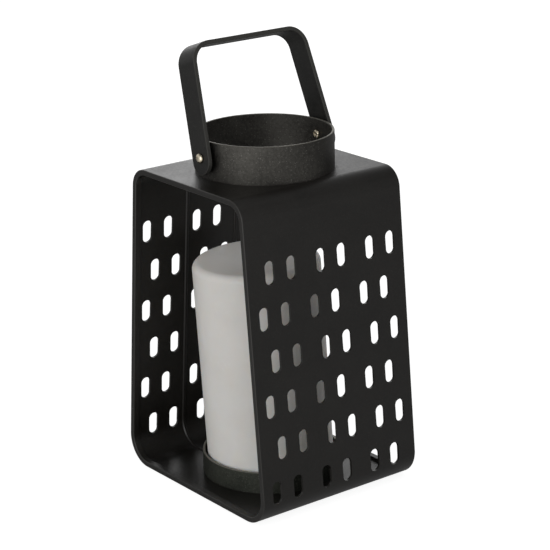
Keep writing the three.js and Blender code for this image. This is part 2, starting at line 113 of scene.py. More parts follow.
def bent(bm, ring, centre, axis, angle, steps):
    """Sweeps a ring of edges round a bend, and gives the ring at the far end."""
    verts = list({vert for edge in ring for vert in edge.verts})
    made = bmesh.ops.spin(bm, geom=verts + ring, cent=centre, axis=axis, angle=angle,
                          steps=steps)["geom_last"]
    return [edge for edge in only(made, bmesh.types.BMEdge) if edge.is_boundary]


def mirrored(bm, axis):
    """Doubles a half across its open plane and closes the seam."""
    bmesh.ops.mirror(bm, geom=bm.verts[:] + bm.edges[:] + bm.faces[:], matrix=Matrix.Identity(4),
                     merge_dist=0.01 * mm, axis=axis)
    sealed(bm)


def sealed(bm):
    """Merges doubled vertices and turns every face outwards."""
    bmesh.ops.remove_doubles(bm, verts=bm.verts[:], dist=0.002 * mm)
    bmesh.ops.recalc_face_normals(bm, faces=bm.faces[:])


def to_object(name, bm):
    """A smooth-shaded object at the origin from a finished bmesh."""
    mesh = bpy.data.meshes.new(name)
    bm.to_mesh(mesh)
    bm.free()
    mesh.shade_smooth()
    made = bpy.data.objects.new(name, mesh)
    bpy.context.scene.collection.objects.link(made)
    return made


def carved(piece, cutter):
    """Takes the cutter's shape out of a piece for good."""
    cut = piece.modifiers.new("cut", "BOOLEAN")
    cut.operation = "DIFFERENCE"
    cut.solver = "EXACT"
    cut.object = cutter
    bpy.context.view_layer.update()
    graph = bpy.context.evaluated_depsgraph_get()
    mesh = bpy.data.meshes.new_from_object(piece.evaluated_get(graph))
    piece.modifiers.remove(cut)
    piece.data = mesh
    bpy.data.objects.remove(cutter)


def eased(piece, width, segments=2):
    """Rounds the sharp edges of a piece and keeps its flats flat."""
    bevel = piece.modifiers.new("eased edges", "BEVEL")
    bevel.width = width
    bevel.segments = segments
    bevel.limit_method = "ANGLE"
    bevel.angle_limit = radians(35)
    normals = piece.modifiers.new("flat flats", "WEIGHTED_NORMAL")
    normals.keep_sharp = False


def sheet_section():
    """Corners of the sheet across its depth: hems at both ends, pressed lines between."""
    edge = body_depth / 2
    hem = edge - hem_width
    line = slot_pair_pitch / 2
    foot = line_width / 2 + line_slope
    head = line_width / 2 - line_slope
    half = [
        (edge, 0, hem_rounding), (edge, hem_thickness, 1.2 * hem_rounding),
        (hem, hem_thickness, 0.35 * mm), (hem, sheet, crease), (line + foot, sheet, crease),
        (line + head, sheet + line_height, crease), (line - head, sheet + line_height, crease),
        (line - foot, sheet, crease),
    ]
    other = [(-y, z, rounding) for y, z, rounding in reversed(half)]
    return [(0, y, z, rounding) for y, z, rounding in half + other]


def slot_cutters():
    """A round-ended block for every slot, standing square to the wall and its bend."""
    bm = bmesh.new()
    half_depth = foot_bend / 2
    straight = (slot_length - slot_width) / 2
    lay_over = Matrix.Rotation(pi / 2, 4, "Y")
    for row in range(slot_rows):
        up = slot_foot_margin + row * slot_row_pitch
        shift = (-1 if row % 2 == 0 else 1) * slot_row_shift / 2
        for pair in range(slot_pairs):
            for side in (-1, 1):
                middle = (pair - (slot_pairs - 1) / 2) * slot_pair_pitch
                along = middle + side * slot_pitch / 2 + shift
                on_wall = (Matrix.Translation((body_foot_width / 2, 0, 0))
                           @ Matrix.Rotation(-tilt, 4, "Y")
                           @ Matrix.Translation((0, along, up)) @ lay_over)
                for turn in (0, pi):
                    end = bmesh.ops.create_circle(bm, cap_ends=True, segments=24, radius=slot_width / 2)
                    verts = end["verts"]
                    for vert in verts:
                        vert.co.x += straight if vert.co.x > 0 else -straight
                        vert.co.z -= half_depth
                    face = verts[0].link_faces[0]
                    block = bmesh.ops.extrude_face_region(bm, geom=[face])["geom"]
                    top = only(block, bmesh.types.BMVert)
                    bmesh.ops.translate(bm, vec=(0, 0, 2 * half_depth), verts=top)
                    bmesh.ops.transform(bm, matrix=Matrix.Rotation(turn, 4, "Z") @ on_wall,
                                        verts=verts + top)
    return bm


def round_bar(bm, radius, low, high, segments=96):
    """An upright round bar between two heights."""
    bmesh.ops.create_cone(bm, cap_ends=True, segments=segments, radius1=radius, radius2=radius,
                          depth=high - low, matrix=Matrix.Translation((0, 0, (low + high) / 2)))


def put(tree, kind, wires=None, **settings):
    """A node with its settings, and each named socket linked or given its value."""
    made = tree.nodes.new(kind)
    for name, value in settings.items():
        setattr(made, name, value)
    for socket, value in (wires or {}).items():
        if isinstance(value, bpy.types.NodeSocket):
            tree.links.new(value, made.inputs[socket])
        else:
            made.inputs[socket].default_value = value
    return made


def noise(tree, place, size, detail=2.0, roughness=0.5):
    """Soft random value with features of a real size."""
    return put(tree, "ShaderNodeTexNoise", {"Vector": place, "Scale": 1 / size, "Detail": detail,
                                            "Roughness": roughness}).outputs["Fac"]


def ramp(tree, value, low, high, to_low=0.0, to_high=1.0):
    """Spreads a value between two limits over another span."""
    return put(tree, "ShaderNodeMapRange", {"Value": value, "From Min": low, "From Max": high,
                                            "To Min": to_low, "To Max": to_high}).outputs["Result"]


def between(tree, mask, first, second):
    """Colour that goes from the first to the second with a mask."""
    mix = put(tree, "ShaderNodeMix", {0: mask, 6: first, 7: second}, data_type="RGBA")
    return mix.outputs[2]


def sums(tree, kind, first, second):
    """A calculation with two values."""
    return put(tree, "ShaderNodeMath", {0: first, 1: second}, operation=kind).outputs[0]


def new_group(name, inputs, outputs):
    """An empty node group with named sockets, and its two end nodes."""
    tree = bpy.data.node_groups.new(name, "ShaderNodeTree")
    for socket, kind, value in inputs:
        made = tree.interface.new_socket(socket, in_out="INPUT", socket_type=kind)
        if value is not None:
            made.default_value = value
    for socket, kind in outputs:
        tree.interface.new_socket(socket, in_out="OUTPUT", socket_type=kind)
    return tree, tree.nodes.new("NodeGroupInput").outputs, tree.nodes.new("NodeGroupOutput")


def powder_grain():
    """Cured powder coat: orange-peel skin, a fine grain, pale flecks and slow clouds."""
    tree, given, end = new_group(
        "powder grain",
        [("Vector", "NodeSocketVector", None), ("Relief", "NodeSocketFloat", 0.3),
         ("Mottle", "NodeSocketFloat", 0.2)],
        [("Cloud", "NodeSocketFloat"), ("Fleck", "NodeSocketFloat"), ("Normal", "NodeSocketVector")])
    peel = noise(tree, given["Vector"], 1.5 * mm, 1.0)
    grain = noise(tree, given["Vector"], 0.5 * mm, 2.0)
    slow = noise(tree, given["Vector"], 22 * mm, 4.0, 0.55)
    speck = sums(tree, "ADD", ramp(tree, peel, 0.3, 0.7, -0.5, 0.5),
                 ramp(tree, grain, 0.3, 0.7, -0.5, 0.5))
    cloud = sums(tree, "ADD", slow, sums(tree, "MULTIPLY", speck, given["Mottle"]))
    cells = put(tree, "ShaderNodeTexVoronoi", {"Vector": given["Vector"], "Scale": 1 / (0.8 * mm)})
    pick = put(tree, "ShaderNodeSeparateColor", {"Color": cells.outputs["Color"]}).outputs["Red"]
    fleck = sums(tree, "MULTIPLY", ramp(tree, pick, 0.72, 1.0),
                 ramp(tree, cells.outputs["Distance"], 0.5, 0.15))
    height = sums(tree, "ADD", peel, grain)
    bump = put(tree, "ShaderNodeBump", {"Strength": given["Relief"], "Distance": 0.05 * mm,
                                        "Height": height})
    for socket, value in (("Cloud", cloud), ("Fleck", fleck), ("Normal", bump.outputs["Normal"])):
        tree.links.new(value, end.inputs[socket])
    return tree


powder = powder_grain()


def new_material(name):
    """A node material, its tree, its shader and the object's own coordinates."""
    material = bpy.data.materials.new(name)
    material.use_nodes = True
    tree = material.node_tree
    place = put(tree, "ShaderNodeTexCoord").outputs["Object"]
    return material, tree, tree.nodes["Principled BSDF"], place


def coat(name, deep, pale, fleck_colour, rough_low, rough_high, thin_coat_and_highlight_at, thin_coat_and_highlight_colour,
         relief=0.25, mottle=0.2, ior=1.4, flake=0.0):
    """Powder coat in its own colours, with mottling and flecks, and paler under a mask that paints
    highlights, and thin coat on cut rims.
    """
    material, tree, shader, place = new_material(name)
    grain = put(tree, "ShaderNodeGroup", {"Vector": place, "Relief": relief, "Mottle": mottle},
                node_tree=powder)
    clouds = between(tree, ramp(tree, grain.outputs["Cloud"], 0.3, 0.7), deep, pale)
    colour = between(tree, grain.outputs["Fleck"], clouds, fleck_colour)
    # Paler under the mask: a painted highlight, and thin coat where the mask is a cut rim.
    tree.links.new(between(tree, thin_coat_and_highlight_at(tree, place), colour, thin_coat_and_highlight_colour), shader.inputs["Base Color"])
    tree.links.new(ramp(tree, grain.outputs["Cloud"], 0.25, 0.75, rough_low, rough_high),
                   shader.inputs["Roughness"])
    tree.links.new(grain.outputs["Normal"], shader.inputs["Normal"])
    shader.inputs["IOR"].default_value = ior
    shader.inputs["Metallic"].default_value = flake
    return material


def painted_highlight_on_hem_corners(tree, place):
    """A painted highlight: one along the rounded corners of both folds, where light catches them."""
    across = put(tree, "ShaderNodeSeparateXYZ", {"Vector": place}).outputs["Y"]
    reach = sums(tree, "ABSOLUTE", across, 0)
    crest = body_depth / 2
    corner = ramp(tree, reach, crest - hem_rounding, crest - 0.7 * hem_rounding)
    return sums(tree, "MULTIPLY", corner, ramp(tree, reach, crest - 0.12 * mm, crest - 0.02 * mm, 1, 0))


# The paler colour along the hems' corners is a painted highlight.
shell_coat = coat("shell_coat", (0.0086, 0.0077, 0.0066, 1), (0.0122, 0.0110, 0.0094, 1),
                  (0.020, 0.0185, 0.016, 1), 0.32, 0.42, painted_highlight_on_hem_corners, (0.036, 0.035, 0.032, 1),
                  mottle=0.3, ior=1.4)

sheet_bm = bmesh.new()
ring = section(sheet_bm, sheet_section())
ring = drawn(sheet_bm, ring, Vector((foot_run, 0, 0)))
ring = bent(sheet_bm, ring, (foot_run, 0, foot_bend), (0, -1, 0), foot_turn, bend_steps)
ring = drawn(sheet_bm, ring, up_the_wall * (body_height / cos(tilt) - foot_tangent - top_tangent))
ring = bent(sheet_bm, ring, (top_run, 0, body_height - top_bend), (0, -1, 0), top_turn, bend_steps)
drawn(sheet_bm, ring, Vector((-top_run, 0, 0)))
mirrored(sheet_bm, "X")
body_sheet = to_object("body_sheet", sheet_bm)

carved(body_sheet, to_object("slots", slot_cutters()))
vent_bm = bmesh.new()
round_bar(vent_bm, vent_radius, body_height - 8 * mm, body_height + 2 * mm)
carved(body_sheet, to_object("vent", vent_bm))
eased(body_sheet, 0.15 * mm)
body_sheet.data.materials.append(shell_coat)
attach(body_sheet, "lantern_body")
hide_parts("body_shell")


# Collar
# A short steel tube standing on the roof round the vent, welded down and coated in a dark grey
# powder with a faint sparkle. Two opposite holes take the rivets of the handle.

collar_radius = 40 * mm
collar_wall = 1.5 * mm
collar_height = 22 * mm
collar_rim_rounding = 0.55 * mm
rivet_hole_radius = 1.8 * mm

joints = {joint["name"]: joint for joint in frame["joints"]}
pivot_height = joints["handle_swing"]["pos_m"][2]


def turned(name, corners, steps=160, segments=4):
    """A piece turned round the Z axis from a section with corners (radius, height, rounding)."""
    bm = bmesh.new()
    edges = section(bm, [(radius, 0, height, rounding) for radius, height, rounding in corners],
                    segments)
    verts = list({vert for edge in edges for vert in edge.verts})
    bmesh.ops.spin(bm, geom=verts + edges, cent=(0, 0, 0), axis=(0, 0, 1), angle=2 * pi,
                   steps=steps, use_merge=True)
    sealed(bm)
    return to_object(name, bm)


def cross_bar(radius, reach):
    """A round bar along Y through the pivot."""
    bm = bmesh.new()
    round_bar(bm, radius, -reach, reach, 32)
    bmesh.ops.rotate(bm, cent=(0, 0, 0), matrix=Matrix.Rotation(pi / 2, 3, "X"), verts=bm.verts)
    bmesh.ops.translate(bm, vec=(0, 0, pivot_height), verts=bm.verts)
    return to_object("cross_bar", bm)


collar_inner = collar_radius - collar_wall
collar_top = body_height + collar_height
collar_tube = turned("collar_tube", [
    (collar_inner, body_height, 0), (collar_radius, body_height, 0),
    (collar_radius, collar_top, collar_rim_rounding), (collar_inner, collar_top, collar_rim_rounding),
])
carved(collar_tube, cross_bar(rivet_hole_radius, collar_radius + 5 * mm))
eased(collar_tube, 0.2 * mm)


def thin_rim_and_highlight_at(height):
    """A mask that is one on a cut rim at a height, where the coat is thin, and which also paints a
    highlight there.
    """
    def mask(tree, place):
        up = put(tree, "ShaderNodeSeparateXYZ", {"Vector": place}).outputs["Z"]
        return ramp(tree, up, height - 0.35 * mm, height - 0.1 * mm)
    return mask


# The pale cut rim is thin coat and partly a painted highlight.
collar_coat = coat("collar_coat", (0.044, 0.042, 0.038, 1), (0.072, 0.069, 0.062, 1),
                   (0.14, 0.136, 0.124, 1), 0.42, 0.54, thin_rim_and_highlight_at(collar_top), (0.21, 0.20, 0.175, 1),
                   relief=0.6, mottle=0.3, ior=1.35, flake=0.9)
collar_tube.data.materials.append(collar_coat)
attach(collar_tube, "lantern_body")
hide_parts("collar")


# Candle ring
# A low steel ring spot-welded to the floor of the body, in the collar's sparkling dark grey
# powder. The candle stands in it with a little play all round.

ring_inner = 39.25 * mm
ring_outer = 40.75 * mm
ring_top = sheet + 13 * mm
ring_rim_rounding = 0.5 * mm
candle_ring = turned("candle_seat_ring", [
    (ring_inner, sheet, 0), (ring_outer, sheet, 0),
    (ring_outer, ring_top, ring_rim_rounding), (ring_inner, ring_top, ring_rim_rounding),
])
eased(candle_ring, 0.15 * mm)
# The pale cut rim is thin coat and partly a painted highlight.
ring_coat = coat("ring_coat", (0.036, 0.039, 0.032, 1), (0.058, 0.062, 0.050, 1),
                 (0.12, 0.125, 0.11, 1), 0.44, 0.56, thin_rim_and_highlight_at(ring_top), (0.21, 0.20, 0.175, 1),
                 relief=0.6, mottle=0.3, ior=1.35, flake=0.6)
candle_ring.data.materials.append(ring_coat)
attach(candle_ring, "lantern_body")
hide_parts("candle_ring")


# Spacers
# A blackened steel washer on each rivet, between the collar and the strap. It keeps the strap
# from scraping the collar's coat as it swings.

spacer_inner = 1.8 * mm
spacer_outer = 4 * mm
spacer_near = 40.15 * mm        # from the collar's axis
spacer_far = 42.15 * mm


def along_pivot(piece, place):
    """Lays a piece turned round Z along the pivot, at the front or the rear."""
    turn = {"rear": 0, "front": pi}[place]
    piece.data.transform(Matrix.Translation((0, 0, pivot_height)) @ Matrix.Rotation(turn, 4, "Z")
                         @ Matrix.Rotation(-pi / 2, 4, "X"))


def fine_metal_grain():
    """Drawn and tumbled metal: fine scratches both ways, small pits and slow stains."""
    tree, given, end = new_group(
        "fine metal grain",
        [("Vector", "NodeSocketVector", None), ("Relief", "NodeSocketFloat", 0.2)],
        [("Stain", "NodeSocketFloat"), ("Scratch", "NodeSocketFloat"), ("Normal", "NodeSocketVector")])
    stretch = put(tree, "ShaderNodeMapping", {"Vector": given["Vector"], "Scale": (1, 1, 9)})
    scratch = noise(tree, stretch.outputs["Vector"], 0.9 * mm, 4.0, 0.7)
    pits = noise(tree, given["Vector"], 0.3 * mm, 2.0)
    stain = noise(tree, given["Vector"], 2.5 * mm, 3.0)
    bump = put(tree, "ShaderNodeBump", {"Strength": given["Relief"], "Distance": 0.02 * mm,
                                        "Height": sums(tree, "ADD", scratch, pits)})
    for socket, value in (("Stain", stain), ("Scratch", scratch), ("Normal", bump.outputs["Normal"])):
        tree.links.new(value, end.inputs[socket])
    return tree


metal_grain = fine_metal_grain()


def bare_metal(name, dull, bright, relief, rough_low, rough_high):
    """Bare or plated metal, duller where it is stained."""
    material, tree, shader, place = new_material(name)
    grain = put(tree, "ShaderNodeGroup", {"Vector": place, "Relief": relief}, node_tree=metal_grain)
    stain = ramp(tree, grain.outputs["Stain"], 0.35, 0.65)
    tree.links.new(between(tree, stain, dull, bright), shader.inputs["Base Color"])
    tree.links.new(ramp(tree, grain.outputs["Scratch"], 0.3, 0.7, rough_low, rough_high),
                   shader.inputs["Roughness"])
    tree.links.new(grain.outputs["Normal"], shader.inputs["Normal"])
    shader.inputs["Metallic"].default_value = 1
    return material


spacer_metal = bare_metal("spacer_metal", (0.018, 0.018, 0.018, 1), (0.04, 0.04, 0.038, 1),
                          0.3, 0.4, 0.6)
for place in ("rear", "front"):
    spacer = turned(f"pivot_spacer_{place}", [
        (spacer_inner, spacer_near, 0.15 * mm), (spacer_outer, spacer_near, 0.3 * mm),
        (spacer_outer, spacer_far, 0.3 * mm), (spacer_inner, spacer_far, 0.15 * mm),
    ], 64)
    along_pivot(spacer, place)
    eased(spacer, 0.05 * mm)
    spacer.data.materials.append(spacer_metal)
    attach(spacer, "lantern_body")
    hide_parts(f"handle_spacer_{place}")


# Rivets
# Pale nickelled brass rivets that the strap swings on, with a domed head outside and the end
# inside the collar rolled over a small hollow.

rivet_head_seat = 45.4 * mm     # from the collar's axis
rivet_head_top = 47.05 * mm
rivet_tail_seat = 38.2 * mm
rivet_tail_end = 36.95 * mm
rivet_shank_radius = 1.5 * mm
rivet_head_radius = 2.85 * mm
rivet_tail_radius = 2.55 * mm
rivet_hollow_radius = 1.15 * mm
rivet_hollow_depth = 0.7 * mm
rivet_metal = bare_metal("rivet_metal", (0.52, 0.45, 0.33, 1), (0.72, 0.65, 0.52, 1), 0.25, 0.18, 0.34)
for place in ("rear", "front"):
    rivet = turned(f"pivot_rivet_{place}", [
        (0, rivet_tail_end + rivet_hollow_depth, 0), (0.9 * mm, rivet_tail_end + 0.6 * mm, 0.3 * mm),
        (rivet_hollow_radius, rivet_tail_end, 0.25 * mm), (2.0 * mm, rivet_tail_end, 0.6 * mm),
        (rivet_tail_radius, rivet_tail_seat - 0.5 * mm, 0.3 * mm),
        (rivet_tail_radius, rivet_tail_seat, 0.15 * mm), (rivet_shank_radius, rivet_tail_seat, 0),
        (rivet_shank_radius, rivet_head_seat, 0), (rivet_head_radius, rivet_head_seat, 0.15 * mm),
        (rivet_head_radius, rivet_head_seat + 0.45 * mm, 0.35 * mm),
        (2.0 * mm, rivet_head_top - 0.25 * mm, 0.8 * mm), (0, rivet_head_top, 0),
    ], 64, 5)
    along_pivot(rivet, place)
    rivet.data.materials.append(rivet_metal)
    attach(rivet, "lantern_body")
    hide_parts(f"handle_rivet_{place}")


# Handle
# One flat steel strap with round ends, bent square and coated black. Its legs lean in towards the
# top, and it swings on the rivets, here tipped over to one side.

strap_width = 16 * mm
strap = 2.4 * mm
handle_height = 63.4 * mm       # pivot to the top face
handle_bend = 12.4 * mm
leg_taper = radians(4.8)
handle_lean = radians(19)
lug_drop = 1.5 * mm
leg_outer = 45.044 * mm         # outer face of the leg at the pivot, from the collar's axis

leg_up = Vector((0, -sin(leg_taper), cos(leg_taper)))
leg_out = Vector((0, cos(leg_taper), sin(leg_taper)))
leg_foot = Vector((0, leg_outer, 0))
strap_turn = pi / 2 - leg_taper
strap_tangent = handle_bend * tan(strap_turn / 2)
leg_length = handle_height / cos(leg_taper) - strap_tangent
lug_end = -(lug_drop + strap_width / 2) / cos(leg_taper)
half_strap = strap_width / 2
lug_rounding = 0.999 * half_strap   # a hair under the half, so that the two corners never meet

strap_bm = bmesh.new()
lug = [(-half_strap, lug_end), (half_strap, lug_end),
       (half_strap, leg_length), (-half_strap, leg_length)]
lug_corners = [leg_foot + leg_up * along + Vector((across, 0, 0)) for across, along in lug]
lug_verts = [strap_bm.verts.new(corner) for corner in lug_corners]
strap_bm.faces.new(lug_verts)
for vert in lug_verts[:2]:
    bmesh.ops.bevel(strap_bm, geom=[vert], offset=lug_rounding, offset_type="OFFSET", segments=16,
                    profile=0.5, affect="VERTICES", material=-1)
leg = bmesh.ops.extrude_face_region(strap_bm, geom=strap_bm.faces[:])["geom"]
bmesh.ops.translate(strap_bm, vec=-strap * leg_out, verts=only(leg, bmesh.types.BMVert))
leg_top = [face for face in strap_bm.faces
           if all((vert.co - leg_foot).dot(leg_up) > leg_length - 0.1 * mm for vert in face.verts)]
strap_ring = leg_top[0].edges[:]
bmesh.ops.delete(strap_bm, geom=leg_top, context="FACES_ONLY")
bend_centre = leg_foot + leg_up * leg_length - leg_out * handle_bend
strap_ring = bent(strap_bm, strap_ring, bend_centre, (1, 0, 0), strap_turn, 24)
bar_start = max(vert.co.y for edge in strap_ring for vert in edge.verts)
drawn(strap_bm, strap_ring, Vector((0, -bar_start, 0)))
mirrored(strap_bm, "Y")
bmesh.ops.rotate(strap_bm, cent=(0, 0, 0), matrix=Matrix.Rotation(-handle_lean, 3, "Y"),
                 verts=strap_bm.verts)
bmesh.ops.translate(strap_bm, vec=(0, 0, pivot_height), verts=strap_bm.verts)
handle_strap = to_object("handle_strap", strap_bm)
carved(handle_strap, cross_bar(rivet_hole_radius, leg_outer + 5 * mm))
eased(handle_strap, 0.45 * mm, 3)


def painted_highlight_on_strap_edges(tree, place):
    """A painted highlight: one along the strap's long edges and round its ends, where light catches
    their rounding.
    """
    flat = put(tree, "ShaderNodeMapping", {"Vector": place, "Location": (0, 0, pivot_height),
                                           "Rotation": (0, -handle_lean, 0)}, vector_type="TEXTURE")
    split = put(tree, "ShaderNodeSeparateXYZ", {"Vector": flat.outputs["Vector"]}).outputs
    below = sums(tree, "MINIMUM", sums(tree, "ADD", split["Z"], lug_drop), 0)
    spread = put(tree, "ShaderNodeCombineXYZ", {"X": split["X"], "Y": below}).outputs["Vector"]
    reach = put(tree, "ShaderNodeVectorMath", {0: spread}, operation="LENGTH").outputs["Value"]
    return ramp(tree, reach, half_strap - 0.7 * mm, half_strap - 0.2 * mm)


# The paler strap edges are a painted highlight.
handle_coat = coat("handle_coat", (0.0080, 0.0077, 0.0070, 1), (0.0130, 0.0126, 0.0113, 1),
                   (0.036, 0.035, 0.032, 1), 0.38, 0.50, painted_highlight_on_strap_edges, (0.040, 0.039, 0.035, 1),
                   relief=0.5, mottle=0.35, ior=1.33)
handle_strap.data.materials.append(handle_coat)
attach(handle_strap, "handle")
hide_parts("handle")


# Candle
# A white wax pillar with a soft shoulder and a shallow dish round the wick, cast hollow from below
# for the light unit. It stands loose in the ring, a little askew.

candle_radius = 37.5 * mm
candle_height = 130 * mm
candle_shoulder = 4.6 * mm
candle_dish = 0.7 * mm
dish_edge = 9 * mm              # from the candle's axis
dish_floor = 3 * mm
flange_room = 33.9 * mm
flange_seat = 4.1 * mm
unit_room = 31.5 * mm
unit_ceiling = 73 * mm
glow_radius = 20 * mm
glow_top = 112 * mm
wick_room = 1.3 * mm
wick_depth = 5 * mm
wick_seat = candle_height - wick_depth - 0.3 * mm

candle_axis = Vector(joints["candle_lift"]["axis"])
candle_foot = Vector(joints["door_turn"]["pos_m"])
stand = (Matrix.Translation(candle_foot)
         @ Vector((0, 0, 1)).rotation_difference(candle_axis).to_matrix().to_4x4())

candle_pillar = turned("candle_pillar", [
    (flange_room, 0, 0.3 * mm), (candle_radius, 0, 0.9 * mm),
    (candle_radius, candle_height, candle_shoulder), (dish_edge, candle_height - 0.2 * mm, 4 * mm),
    (dish_floor, candle_height - candle_dish, 1.2 * mm),
    (wick_room, candle_height - candle_dish, 0.3 * mm), (wick_room, wick_seat, 0), (0, wick_seat, 0),
    (0, glow_top, 0), (glow_radius, glow_top, 1 * mm), (glow_radius, unit_ceiling, 0),
    (unit_room, unit_ceiling, 0.5 * mm), (unit_room, flange_seat, 0), (flange_room, flange_seat, 0),
], 192, 14)
eased(candle_pillar, 0.2 * mm)


def wax_look():
    """Ivory paraffin: cloudy inside, a dry bloom on the skin and a soft, barely uneven surface."""
    material, tree, shader, place = new_material("wax")
    cloud = noise(tree, place, 28 * mm, 4.0, 0.6)
    bloom = noise(tree, place, 3.5 * mm, 3.0, 0.6)
    skin = noise(tree, place, 0.6 * mm, 2.0)
    body = between(tree, ramp(tree, cloud, 0.3, 0.7), (0.78, 0.757, 0.718, 1), (0.83, 0.811, 0.780, 1))
    tree.links.new(between(tree, ramp(tree, bloom, 0.62, 0.8, 0, 0.35), body, (0.88, 0.875, 0.86, 1)),
                   shader.inputs["Base Color"])
    tree.links.new(ramp(tree, bloom, 0.3, 0.7, 0.42, 0.58), shader.inputs["Roughness"])
    relief = sums(tree, "ADD", sums(tree, "MULTIPLY", cloud, 3.0), skin)
    bump = put(tree, "ShaderNodeBump", {"Strength": 0.25, "Distance": 0.1 * mm, "Height": relief})
    tree.links.new(bump.outputs["Normal"], shader.inputs["Normal"])
    shader.inputs["Subsurface Weight"].default_value = 0.45
    shader.inputs["Subsurface Radius"].default_value = (1.0, 0.78, 0.6)
    shader.inputs["Subsurface Scale"].default_value = 7 * mm
    shader.inputs["Specular IOR Level"].default_value = 0.3
    return material


candle_pillar.data.materials.append(wax_look())
candle_pillar.data.transform(stand)
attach(candle_pillar, "candle")
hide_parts("candle_wax")


# Wick
# A short stub of three cotton strands wound round each other, set into the middle of the dish
# and charred black at its tip.

wick_stub = 7 * mm
strands = 3
strand_radius = 0.52 * mm
strand_reach = 0.5 * mm         # from the wick's axis to a strand's
strand_turns = 1.6
strand_steps = 48
soot_starts = 134.5 * mm        # above the lantern's underside
soot_is_full = 138 * mm


def wick_look():
    """Grey-brown cotton that goes to soot at the tip."""
    material, tree, shader, place = new_material("wick_cotton")
    fibre = noise(tree, place, 0.3 * mm, 3.0)
    up = put(tree, "ShaderNodeSeparateXYZ", {"Vector": place}).outputs["Z"]
    soot = ramp(tree, up, soot_starts, soot_is_full)
    cotton = between(tree, fibre, (0.05, 0.042, 0.035, 1), (0.12, 0.10, 0.08, 1))
    tree.links.new(between(tree, soot, cotton, (0.008, 0.008, 0.008, 1)), shader.inputs["Base Color"])
    tree.links.new(ramp(tree, fibre, 0.3, 0.7, 0.8, 0.98), shader.inputs["Roughness"])
    bump = put(tree, "ShaderNodeBump", {"Strength": 0.6, "Distance": 0.1 * mm, "Height": fibre})
    tree.links.new(bump.outputs["Normal"], shader.inputs["Normal"])
    return material


wick_bm = bmesh.new()
strand_rise = (wick_depth + wick_stub) / strand_steps
for strand in range(strands):
    heading = 2 * pi * strand / strands
    start = bmesh.ops.create_circle(
        wick_bm, cap_ends=False, segments=10, radius=strand_radius,
        matrix=Matrix.Rotation(heading, 4, "Z")
        @ Matrix.Translation((strand_reach, 0, candle_height - wick_depth)))["verts"]
    start_edges = list({edge for vert in start for edge in vert.link_edges})
    bmesh.ops.contextual_create(wick_bm, geom=start_edges)
    made = bmesh.ops.spin(wick_bm, geom=start + start_edges, cent=(0, 0, 0), axis=(0, 0, 1),
                          angle=2 * pi * strand_turns, steps=strand_steps,
                          dvec=(0, 0, strand_rise))["geom_last"]
    end_edges = [edge for edge in only(made, bmesh.types.BMEdge) if edge.is_boundary]
    bmesh.ops.contextual_create(wick_bm, geom=end_edges)
bmesh.ops.recalc_face_normals(wick_bm, faces=wick_bm.faces[:])
wick_stub_piece = to_object("braided_wick", wick_bm)
wick_stub_piece.data.transform(stand)
wick_stub_piece.data.materials.append(wick_look())
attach(wick_stub_piece, "candle")
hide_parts("candle_wick")


# Light unit and its small parts
# A moulded ivory insert holds two cells between nickelled springs and strips, with a timer board,
# a tinted lamp, a round battery lid and a slide switch. These keep the frame's own solids.


def moulded_grain():
    """Injection-moulded skin: a fine spark-eroded texture and faint flow clouds."""
    tree, given, end = new_group(
        "moulded grain",
        [("Vector", "NodeSocketVector", None), ("Relief", "NodeSocketFloat", 0.3)],
        [("Flow", "NodeSocketFloat"), ("Normal", "NodeSocketVector")])
    eroded = noise(tree, given["Vector"], 0.35 * mm, 2.0)
    flow = noise(tree, given["Vector"], 14 * mm, 3.0)
    bump = put(tree, "ShaderNodeBump", {"Strength": given["Relief"], "Distance": 0.03 * mm,
                                        "Height": eroded})
    tree.links.new(flow, end.inputs["Flow"])
    tree.links.new(bump.outputs["Normal"], end.inputs["Normal"])
    return tree


moulded = moulded_grain()


def plastic(name, deep, pale, relief, rough_low, rough_high):
    """Moulded plastic in two close tones."""
    material, tree, shader, place = new_material(name)
    grain = put(tree, "ShaderNodeGroup", {"Vector": place, "Relief": relief}, node_tree=moulded)
    tree.links.new(between(tree, ramp(tree, grain.outputs["Flow"], 0.3, 0.7), deep, pale),
                   shader.inputs["Base Color"])
    tree.links.new(ramp(tree, grain.outputs["Flow"], 0.3, 0.7, rough_low, rough_high),
                   shader.inputs["Roughness"])
    tree.links.new(grain.outputs["Normal"], shader.inputs["Normal"])
    return material


unit_plastic = plastic("unit_plastic", (0.74, 0.71, 0.64, 1), (0.80, 0.775, 0.71, 1), 0.35, 0.38, 0.5)
switch_black = plastic("switch_black", (0.011, 0.011, 0.011, 1), (0.018, 0.018, 0.018, 1),
                       0.4, 0.4, 0.55)
contact_nickel = bare_metal("contact_nickel", (0.50, 0.50, 0.47, 1), (0.66, 0.66, 0.63, 1),
                            0.2, 0.22, 0.4)
cell_jacket = plastic("cell_jacket", (0.035, 0.09, 0.19, 1), (0.05, 0.12, 0.24, 1), 0.1, 0.22, 0.34)
board_green = plastic("board_green", (0.018, 0.085, 0.035, 1), (0.03, 0.115, 0.05, 1), 0.2, 0.25, 0.4)
led_amber = plastic("led_amber", (0.70, 0.42, 0.11, 1), (0.80, 0.52, 0.17, 1), 0.05, 0.08, 0.14)
for name, material in {
    "light_unit_housing": unit_plastic, "battery_door": unit_plastic,
    "door_contact": contact_nickel, "door_contact_spring": contact_nickel,
    "battery_nub_up": cell_jacket, "battery_nub_down": cell_jacket,
    "top_contact_plate": contact_nickel, "top_contact_spring": contact_nickel,
    "circuit_board": board_green, "board_screw_front": contact_nickel,
    "board_screw_rear": contact_nickel, "led": led_amber,
    "switch_body": switch_black, "switch_knob": switch_black,
}.items():
    frame["nodes"][name].material_slots[0].material = material


# Floor, light and camera
# A plain pale floor that keeps a soft shadow, in a white surround that is dimmer overhead, behind
# and at the front left. A broad lamp stands front right, with weaker ones rear left and above, and
# the camera looks from where the photograph was taken.

